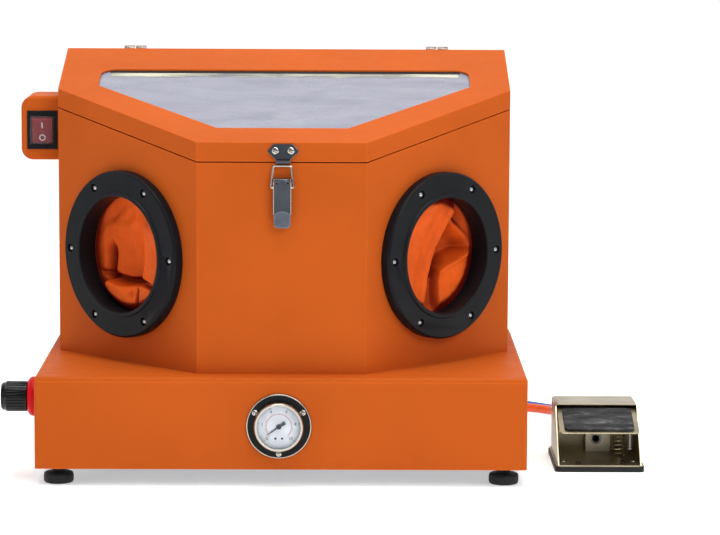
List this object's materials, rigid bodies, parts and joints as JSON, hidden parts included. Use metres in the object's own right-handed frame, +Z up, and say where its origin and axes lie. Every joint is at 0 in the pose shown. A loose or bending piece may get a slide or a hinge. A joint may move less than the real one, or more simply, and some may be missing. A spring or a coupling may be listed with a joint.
{
  "type": "sandblast cabinet",
  "caption": "Bench-top abrasive blast cabinet with a sloping windowed lid, two glove ports, a regulator with gauge and an air foot pedal.",
  "frame": {"origin": "on the floor, in the middle of the box around the cabinet and its pedal, without the hoses", "axes": "front faces -Y, pedal on the +X side, +Z up"},
  "size_m": [0.8248, 0.6276, 0.5318],
  "materials": {
    "orange_paint": "satin",
    "black_paint": "satin",
    "black_plastic": "matte",
    "gloss_black": "gloss",
    "red_plastic": "gloss",
    "rocker_red": "gloss",
    "clear_plastic": "gloss",
    "chrome": "polished",
    "zinc": "satin",
    "steel": "satin",
    "dark_steel": "satin",
    "nickel": "satin",
    "rubber": "matte",
    "glove_rubber": "matte",
    "dial_white": "matte",
    "glass": "gloss",
    "film": "gloss",
    "brass": "satin",
    "orange_tube": "satin",
    "blue_tube": "satin",
    "clear_tube": "satin",
    "cast_alloy": "satin"
  },
  "bodies": {
    "cabinet": {"base_housing": "orange_paint", "base_floor_plate": "zinc", "levelling_feet": "rubber", "hopper": "orange_paint", "work_grate": "zinc", "cabinet_body": "orange_paint", "glove_ring_left": "black_plastic", "glove_ring_right": "black_plastic", "glove_ring_fasteners": "zinc", "glove_left": "glove_rubber", "glove_right": "glove_rubber", "glove_clamps": "zinc", "lid_gasket": "rubber", "hinge_fixed_leaves": "black_paint", "hinge_hardware": "steel", "latch_base": "dark_steel", "switch_box": "orange_paint", "switch_bezel": "black_plastic", "switch_boot": "clear_plastic", "light_bar": "cast_alloy", "dust_outlet": "black_plastic", "gauge_case": "black_paint", "gauge_bezel": "chrome", "gauge_dial": "dial_white", "gauge_lens": "glass", "regulator_ring": "red_plastic", "regulator_body": "cast_alloy", "air_lines": "blue_tube", "air_inlet": "brass", "hose_bulkheads": "brass", "cable_gland": "black_plastic", "blast_gun": "cast_alloy", "media_tube": "clear_tube", "pedal_rubber_base": "rubber", "pedal_base_plate": "nickel", "pedal_cover": "nickel", "pedal_spring": "steel", "pedal_fasteners": "zinc", "valve_block": "cast_alloy", "orange_hose": "orange_tube", "orange_hose_coil": "orange_tube", "blue_hose": "blue_tube", "blue_hose_coil": "blue_tube"},
    "lid": {"lid_shell": "orange_paint", "window_gasket": "rubber", "window_film": "film", "window_glass": "glass", "window_frame": "orange_paint", "hinge_lid_leaves": "black_paint", "latch_strike": "dark_steel"},
    "latch_lever": {"latch_lever": "dark_steel"},
    "latch_bail": {"latch_bail": "chrome"},
    "rocker": {"rocker": "rocker_red"},
    "regulator_pull": {"regulator_sleeve": "steel"},
    "regulator_turn": {"regulator_knob": "gloss_black"},
    "needle": {"gauge_needle": "black_paint"},
    "treadle": {"pedal_treadle": "nickel", "pedal_pad": "rubber", "pedal_stop_screw": "zinc"},
    "plunger": {"valve_plunger": "steel"}
  },
  "joints": [
    {"name": "lid_hinge", "type": "hinge", "parent": "cabinet", "child": "lid", "pos_m": [-0.0559, 0.1647, 0.52684], "axis": [-1, 0, 0], "range_deg": [0, 95]},
    {"name": "latch_lever_hinge", "type": "hinge", "parent": "cabinet", "child": "latch_lever", "pos_m": [-0.0552, -0.1932, 0.385], "axis": [-1, 0, 0], "range_deg": [0, 150]},
    {"name": "latch_bail_hinge", "type": "hinge", "parent": "latch_lever", "child": "latch_bail", "pos_m": [-0.0552, -0.1929, 0.376], "axis": [-1, 0, 0], "range_deg": [-150, 0]},
    {"name": "rocker_tilt", "type": "hinge", "parent": "cabinet", "child": "rocker", "pos_m": [-0.3757, 0.0408, 0.4278], "axis": [-1, 0, 0], "range_deg": [0, 24]},
    {"name": "knob_pull", "type": "slide", "parent": "cabinet", "child": "regulator_pull", "axis": [-1, 0, 0], "range_m": [0, 0.003]},
    {"name": "knob_turn", "type": "hinge", "parent": "regulator_pull", "child": "regulator_turn", "pos_m": [-0.3909, -0.1552, 0.1043], "axis": [-1, 0, 0], "range_deg": [-720, 720]},
    {"name": "needle_swing", "type": "hinge", "parent": "cabinet", "child": "needle", "pos_m": [-0.0586, -0.2212, 0.0777], "axis": [0, 1, 0], "range_deg": [-10, 260]},
    {"name": "treadle_press", "type": "hinge", "parent": "cabinet", "child": "treadle", "pos_m": [0.35455, 0.0154, 0.06], "axis": [1, 0, 0], "range_deg": [0, 8], "stiffness_Nm_per_rad": 20, "springref_deg": -3.44, "deforming": ["pedal_spring"]},
    {"name": "plunger_slide", "type": "slide", "parent": "cabinet", "child": "plunger", "axis": [0, 0, -1], "range_m": [0, 0.0034]}
  ],
  "couplings": [
    {"joint": "latch_bail_hinge", "follows": "latch_lever_hinge", "ratio": -1},
    {"joint": "plunger_slide", "follows": "treadle_press", "m_per_rad": 0.024}
  ]
}
